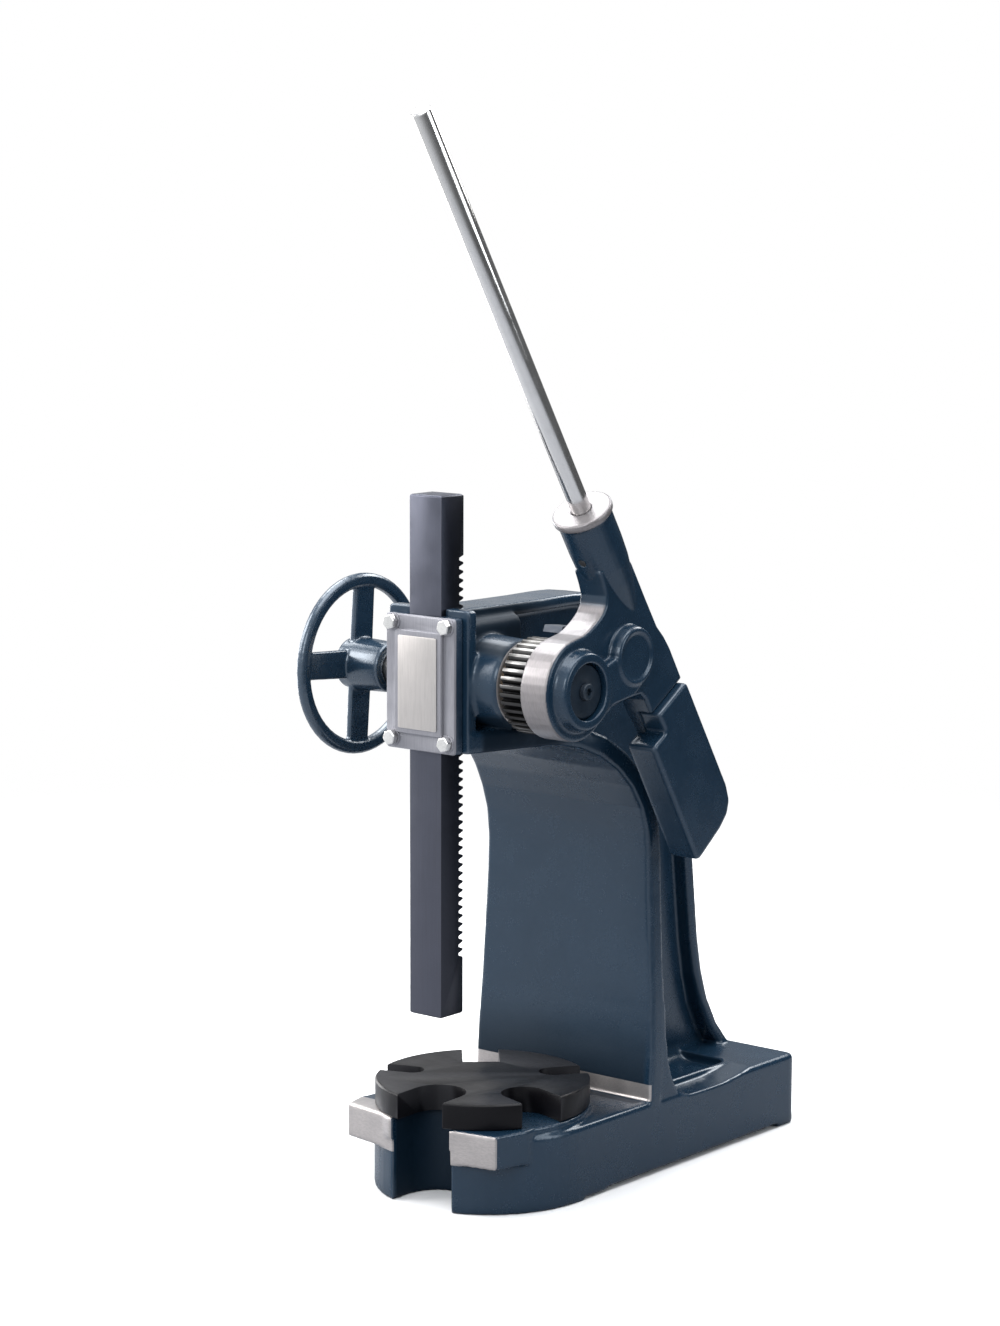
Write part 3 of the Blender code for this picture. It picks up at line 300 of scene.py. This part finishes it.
def enamel(name, bare=None, hollow_shade=None, base=(20, 42, 60), bare_tone=(0.50, 0.465, 0.45), across=(260, 30, 900), rough=(0.20, 0.30), cast=1.0, bare_metallic=0.75, ior=1.6):
    """Glossy machine enamel over a casting. bare(n) gives the mask of ground metal, and the third argument gives
    the mask of painted shade: darker, rougher and less reflective enamel where shade falls.
    """
    n = Nodes(name)
    dark = linear(*base)
    wave = n.noise(9.0, 2.0, 0.5)
    cloud = n.noise(26.0, 4.0, 0.6)
    grain = n.noise(420.0, 3.0, 0.6)
    pits = n.noise(1300.0, 2.0, 0.5)
    color = n.mix(cloud, tuple(c * 0.86 for c in dark), tuple(c * 1.16 for c in dark))
    color = n.mix(n.ramp(grain, 0.62, 0.8, 0.0, 0.25), color, tuple(c * 1.5 for c in dark))
    worn = n.math("MULTIPLY", n.edges(0.515, 0.57), n.ramp(cloud, 0.35, 0.65, 0.25, 0.9))
    color = n.mix(n.math("MULTIPLY", worn, 0.35), color, linear(120, 128, 140))
    shine = n.ramp(n.math("ADD", cloud, n.math("MULTIPLY", grain, 0.4)), 0.45, 0.95, rough[0], rough[1])
    # Painted shade: the mask darkens the enamel, roughens it and dims its reflection.
    if hollow_shade is not None:
        shade_amount = hollow_shade(n)
        color = n.mix(shade_amount, color, tuple(c * 0.45 for c in dark))
        shine = n.mixf(shade_amount, shine, 0.55)
        n.put(n.b.inputs["Specular IOR Level"], n.mixf(shade_amount, 0.5, 0.14))
    metal = 0.0
    height = n.math("ADD", n.math("MULTIPLY", grain, 0.75 * cast), n.math("MULTIPLY", pits, 0.25 * cast))
    if bare is not None:
        mask = bare(n)
        tone, r2, lines = ground_metal(n, bare_tone, across)
        color = n.mix(mask, color, tone)
        shine = n.mixf(mask, shine, r2)
        metal = n.math("MULTIPLY", mask, bare_metallic)
        height = n.mixf(mask, height, n.math("MULTIPLY", lines, 0.6))
    n.put(n.b.inputs["Base Color"], color)
    n.put(n.b.inputs["Roughness"], shine)
    n.put(n.b.inputs["Metallic"], metal)
    n.b.inputs["IOR"].default_value = ior
    n.b.inputs["Specular Tint"].default_value = (0.82, 0.91, 1.0, 1.0)
    n.bump([(wave, 0.25, 0.004), (height, 0.22, 0.0006)])
    return n.m


def steel(name, tone, rough=(0.25, 0.4), across=(40, 40, 900), metallic=1.0, edge=(0.75, 0.74, 0.72), stain=0.3, line_strength=0.12, dark=None, painted_shade_mask=None, level=0.5):
    """Ground or turned steel: fine lines along one direction, soft staining, edges brightened as a painted
    highlight, and painted shade where a mask is given.
    """
    n = Nodes(name)
    lines = n.noise(1.0, 4.0, 0.65, across)
    cloud = n.noise(30.0, 4.0, 0.6)
    fine = n.noise(800.0, 2.0, 0.5)
    color = n.mix(cloud, tuple(c * (1 - stain) for c in tone), tuple(min(1, c * (1 + stain * 0.6)) for c in tone))
    color = n.mix(n.ramp(lines, 0.4, 0.7, 0.0, 0.4), color, tuple(c * 0.7 for c in tone))
    # Painted highlight: edges are brightened towards the edge colour.
    color = n.mix(n.math("MULTIPLY", n.edges(0.52, 0.6), 0.5), color, edge)
    # Painted shade: where the mask is 1 the colour turns to the dark colour.
    if dark is not None:
        color = n.mix(painted_shade_mask(n), color, dark)
    shine = n.math("ADD", n.ramp(cloud, 0.3, 0.7, rough[0], rough[1]), n.ramp(lines, 0.3, 0.7, 0.0, 0.06))
    n.put(n.b.inputs["Base Color"], color)
    n.put(n.b.inputs["Roughness"], shine)
    n.b.inputs["Metallic"].default_value = metallic
    n.b.inputs["Specular IOR Level"].default_value = level
    n.bump([(lines, line_strength, 0.0003), (fine, 0.06, 0.0002)])
    return n.m


def lever_coords(n):
    """The lever casting's own axes: along the side (a) and up the handle (b), in metres."""
    x, y, z = n.position()
    y = n.math("SUBTRACT", y, AXIS_Y)
    z = n.math("SUBTRACT", z, AXIS_Z)
    a = n.math("ADD", n.math("MULTIPLY", y, math.cos(LEAN)), n.math("MULTIPLY", z, math.sin(LEAN)))
    b = n.math("SUBTRACT", n.math("MULTIPLY", z, math.cos(LEAN)), n.math("MULTIPLY", y, math.sin(LEAN)))
    return x, a, b


def frame_bare(n):
    nx, ny, nz = n.normal()
    front = n.ramp(ny, -0.45, -0.65)
    upper = n.ramp(nz, 0.6, 0.8)
    lo, hi = at(44.0, -40, 54.6), at(103, -14.0, 95)
    lug_right = n.math("MULTIPLY", n.box((lo.x, lo.y, lo.z), (hi.x, hi.y, hi.z)), front)
    lo, hi = at(-124, -40, 54.6), at(-33, 9.0, 95)
    lug_left = n.math("MULTIPLY", n.box((lo.x, lo.y, lo.z), (hi.x, hi.y, hi.z)), n.math("MAXIMUM", front, upper))
    lo, hi = at(-127.2, 210, 86), at(127.2, 224.6, 104.5)
    strip = n.box((lo.x, lo.y, lo.z), (hi.x, hi.y, hi.z))
    # the turned end of the shaft's boss
    x, y, z = n.position()
    dy = n.math("SUBTRACT", y, AXIS_Y)
    dz = n.math("SUBTRACT", z, AXIS_Z)
    r = n.math("SQRT", n.math("ADD", n.math("MULTIPLY", dy, dy), n.math("MULTIPLY", dz, dz)))
    ring = n.math("MULTIPLY", n.ramp(x, at(88.2, 0, 0).x, at(89.2, 0, 0).x), n.ramp(r, 0.055, 0.053))
    return any_of(n, [lug_right, lug_left, strip, ring])


def frame_hollow_shade(n):
    """Painted shade: darker enamel behind the ratchet, inside the base's slot and along the throat's foot, where
    shade falls.
    """
    x, y, z = n.position()
    # Painted shade on the head's side behind the ratchet, kept off faces that face up.
    lo, hi = at(20, 4, 505), at(92, 0, 657)
    side = n.box((lo.x, lo.y, lo.z), (hi.x, None, hi.z), 0.008)
    side = n.math("MULTIPLY", side, n.ramp(y, at(0, 190, 0).y, at(0, 90, 0).y))
    side = n.math("MULTIPLY", side, n.ramp(n.normal()[2], 0.97, 0.85))
    side = n.math("MULTIPLY", side, n.ramp(n.noise(30.0, 3.0, 0.6), 0.2, 0.5, 0.8, 1.0))
    # Painted shade inside the base's front slot.
    lo, hi = at(-36.0, -27.0, -1), at(45.6, 60, 93)
    slot = n.math("MULTIPLY", n.box((lo.x, lo.y, lo.z), (hi.x, hi.y, hi.z), 0.003), 0.85)
    # Painted shade along the throat's foot, darker towards the bottom.
    lo, hi = at(0, 205, 100), at(118, 233, 190)
    foot = n.box((None, lo.y, None), (hi.x, hi.y, hi.z), 0.008)
    foot = n.math("MULTIPLY", foot, n.ramp(z, 0.185, 0.105, 0.0, 0.85))
    return any_of(n, [side, slot, foot])


def lever_bare(n):
    x, a, b = lever_coords(n)
    nx = n.normal()[0]
    flat = n.ramp(n.math("ABSOLUTE", nx), 0.75, 0.5)
    collar = n.ramp(b, 0.1378, 0.1386)
    wall = n.math("MULTIPLY", flat, n.ramp(x, at(165.5, 0, 0).x, at(164.0, 0, 0).x))
    wall = n.math("MULTIPLY", wall, n.ramp(a, 0.088, 0.080))
    wall = n.math("MULTIPLY", wall, n.ramp(b, 0.074, 0.058))
    wall = n.math("MULTIPLY", wall, n.ramp(b, -0.060, -0.050))
    return any_of(n, [collar, wall])


def cap_bare(n):
    lo, hi = at(0, -27.5, 0), at(0, -24.5, 0)
    return n.ramp(n.position()[1], hi.y, hi.y - 0.0006)


def tooth_shade(n):
    """Painted shade: 1 at the roots of the ratchet's teeth, on its lower teeth and on its side towards the boss."""
    x, y, z = n.position()
    dy = n.math("SUBTRACT", y, AXIS_Y)
    dz = n.math("SUBTRACT", z, AXIS_Z)
    r = n.math("SQRT", n.math("ADD", n.math("MULTIPLY", dy, dy), n.math("MULTIPLY", dz, dz)))
    return n.math("MAXIMUM", n.ramp(r, 0.0525, 0.0478), n.math("MAXIMUM", n.ramp(dz, 0.032, -0.010, 0.0, 0.86), n.ramp(x, at(113, 0, 0).x, at(103, 0, 0).x, 0.0, 0.6)))


FRAME_PAINT = enamel("enamel_frame", frame_bare, frame_hollow_shade)
CAP_PAINT = enamel("enamel_cap", cap_bare, bare_tone=(0.29, 0.285, 0.31), bare_metallic=0.35, across=(700, 300, 40))
WHEEL_PAINT = enamel("enamel_wheel", rough=(0.22, 0.32), cast=0.35, ior=1.95)
LEVER_PAINT = enamel("enamel_lever", lever_bare, bare_tone=(0.27, 0.25, 0.25), across=(900, 120, 120), bare_metallic=0.55)
WEIGHT_PAINT = enamel("enamel_weight")
# Painted shade: the ram's faces turned to +X are darkened.
RAM_STEEL = steel("dark_ram_steel", linear(62, 66, 80), (0.28, 0.40), (900, 900, 14), 0.85, (0.26, 0.26, 0.29), 0.22, 0.2, (0.010, 0.011, 0.014), lambda n: n.math("MULTIPLY", n.ramp(n.normal()[0], 0.6, 0.8), 0.6))
TABLE_IRON = steel("black_table", linear(9, 8, 12), (0.27, 0.37), (30, 900, 30), 0.0, (0.03, 0.03, 0.034), 0.25, 0.12, level=0.2)
TURNED = steel("turned_steel", (0.56, 0.55, 0.53), (0.24, 0.36), (900, 60, 60))
# Painted shade on the ratchet's teeth, from the tooth mask.
TOOTH = steel("tooth_steel", (0.17, 0.165, 0.16), (0.26, 0.4), (60, 300, 300), stain=0.45, dark=(0.012, 0.012, 0.013), painted_shade_mask=tooth_shade)
KEY = steel("key_steel", (0.5, 0.5, 0.5), (0.3, 0.42), (900, 60, 60))
BLACK_SCREW = steel("black_screw", (0.06, 0.06, 0.062), (0.35, 0.5), (300, 300, 300), 0.9, (0.3, 0.3, 0.3))
BLACKENED = steel("blackened_steel", linear(22, 38, 52), (0.26, 0.38), (300, 300, 300), 0.2, linear(120, 125, 135))
BRIGHT = steel("bright_bolts", (0.80, 0.79, 0.77), (0.20, 0.32), (300, 90, 300), stain=0.12)
BAR = steel("polished_bar", (0.76, 0.75, 0.74), (0.09, 0.15), (30, 30, 30), 0.92, stain=0.10, line_strength=0.03)
BRONZE = steel("bearing_bronze", (0.55, 0.37, 0.16), (0.28, 0.4), (900, 60, 60), edge=(0.75, 0.55, 0.3))
SPRING = steel("spring_steel", (0.42, 0.42, 0.42), (0.3, 0.42), (300, 300, 300))
PLATE = steel("plain_plate", (0.50, 0.47, 0.45), (0.34, 0.46), (900, 100, 40), 0.55, stain=0.10, line_strength=0.08)

SLOT_OF = {"enamel_frame": FRAME_PAINT, "enamel_cap": CAP_PAINT, "enamel_wheel": WHEEL_PAINT, "enamel_lever": LEVER_PAINT, "enamel_weight": WEIGHT_PAINT, "dark_ram_steel": RAM_STEEL, "black_table": TABLE_IRON, "turned_steel": TURNED, "tooth_steel": TOOTH, "key_steel": KEY, "black_screw": BLACK_SCREW, "bright_bolts": BRIGHT, "polished_bar": BAR, "bearing_bronze": BRONZE, "spring_steel": SPRING, "plain_plate": PLATE}

slot_by_node = {s["node"]: s.get("material_slot") for s in frame["record"].get("subparts", [])}
for name, ob in NODES.items():
    mat = BLACKENED if name in ("retaining_washer", "retaining_screw", "pawl") else SLOT_OF[slot_by_node[name]]
    ob.data.materials.clear()
    ob.data.materials.append(mat)

# --- softened edges of the CAD nodes ---


def weld(ob, distance=0.00002):
    m = ob.modifiers.new("weld", "WELD")
    m.merge_threshold = distance


def rounded(ob, width, segments=3, angle=38):
    weld(ob)
    m = ob.modifiers.new("edge", "BEVEL")
    m.width = width
    m.segments = segments
    m.limit_method = "ANGLE"
    m.angle_limit = math.radians(angle)
    m.use_clamp_overlap = True
    m.harden_normals = False
    m.miter_outer = "MITER_ARC"


def shade(ob, angle=35):
    """Smooth shading except over sharp edges, by sharp marks that a modifier sets."""
    tree = bpy.data.node_groups.get("smooth_by_angle_%d" % angle)
    if tree is None:
        tree = bpy.data.node_groups.new("smooth_by_angle_%d" % angle, "GeometryNodeTree")
        tree.interface.new_socket("Geometry", in_out="INPUT", socket_type="NodeSocketGeometry")
        tree.interface.new_socket("Geometry", in_out="OUTPUT", socket_type="NodeSocketGeometry")
        i = tree.nodes.new("NodeGroupInput")
        o = tree.nodes.new("NodeGroupOutput")
        s = tree.nodes.new("GeometryNodeSetShadeSmooth")
        s.domain = "FACE"
        s.inputs["Shade Smooth"].default_value = True
        e = tree.nodes.new("GeometryNodeSetShadeSmooth")
        e.domain = "EDGE"
        e.inputs["Shade Smooth"].default_value = False
        a = tree.nodes.new("GeometryNodeInputMeshEdgeAngle")
        c = tree.nodes.new("FunctionNodeCompare")
        c.data_type = "FLOAT"
        c.operation = "GREATER_THAN"
        c.inputs["B"].default_value = math.radians(angle)
        tree.links.new(a.outputs["Unsigned Angle"], c.inputs["A"])
        tree.links.new(i.outputs[0], s.inputs["Geometry"])
        tree.links.new(s.outputs[0], e.inputs["Geometry"])
        tree.links.new(c.outputs[0], e.inputs["Selection"])
        tree.links.new(e.outputs[0], o.inputs[0])
    m = ob.modifiers.new("shade", "NODES")
    m.node_group = tree


def cast_body(ob, voxel, rounds, keep_faces=None, factor=0.5):
    """The rounded edges and fillets of a casting: the node's own solid, remeshed and eased."""
    weld(ob)
    m = ob.modifiers.new("skin", "REMESH")
    m.mode = "VOXEL"
    m.voxel_size = voxel
    m.adaptivity = 0.0
    m.use_smooth_shade = True
    m = ob.modifiers.new("ease", "SMOOTH")
    m.factor = factor
    m.iterations = rounds
    if keep_faces:
        m = ob.modifiers.new("thin", "DECIMATE")
        m.decimate_type = "COLLAPSE"
        m.ratio = keep_faces


CAST = {
    "frame_casting": (0.0021, 5, 0.42),
    "lever_casting": (0.0012, 4, 0.6),
    "counterweight": (0.0016, 4, 0.6),
    "handwheel": (0.0014, 4, 0.7),
}
SHARP = {
    "front_cap": 0.0012,
    "table_plate": 0.0007,
    "ram_rack": 0.0005,
    "ratchet_wheel": 0.0003,
    "pinion_shaft": 0.0003,
    "pawl": 0.0005,
    "blank_nameplate": 0.00025,
}
for name, ob in NODES.items():
    if name in CAST:
        voxel, rounds, share = CAST[name]
        cast_body(ob, voxel, rounds, share)
    elif name in ("pawl_spring",):
        weld(ob)
        shade(ob, 60)
    else:
        rounded(ob, SHARP.get(name, 0.0004), 2)
        shade(ob, 32)

# --- floor material ---
nf = Nodes("floor_paint")
seen = nf.add("ShaderNodeLightPath").outputs["Is Camera Ray"]
shade_of = nf.mix(nf.noise(2.0), (0.86, 0.865, 0.87), (0.90, 0.90, 0.90))
nf.put(nf.b.inputs["Base Color"], nf.mix(seen, (0.30, 0.31, 0.33), shade_of))
nf.b.inputs["Roughness"].default_value = 0.6
nf.b.inputs["Specular IOR Level"].default_value = 0.1
fx, fy, fz = nf.position()
far = nf.math("SQRT", nf.math("ADD", nf.math("MULTIPLY", fx, fx), nf.math("MULTIPLY", fy, fy)))
nf.put(nf.b.inputs["Alpha"], nf.ramp(far, 1.1, 2.5, 1.0, 0.0))
floor.data.materials.append(nf.m)

bpy.context.scene.view_settings.view_transform = "Standard"
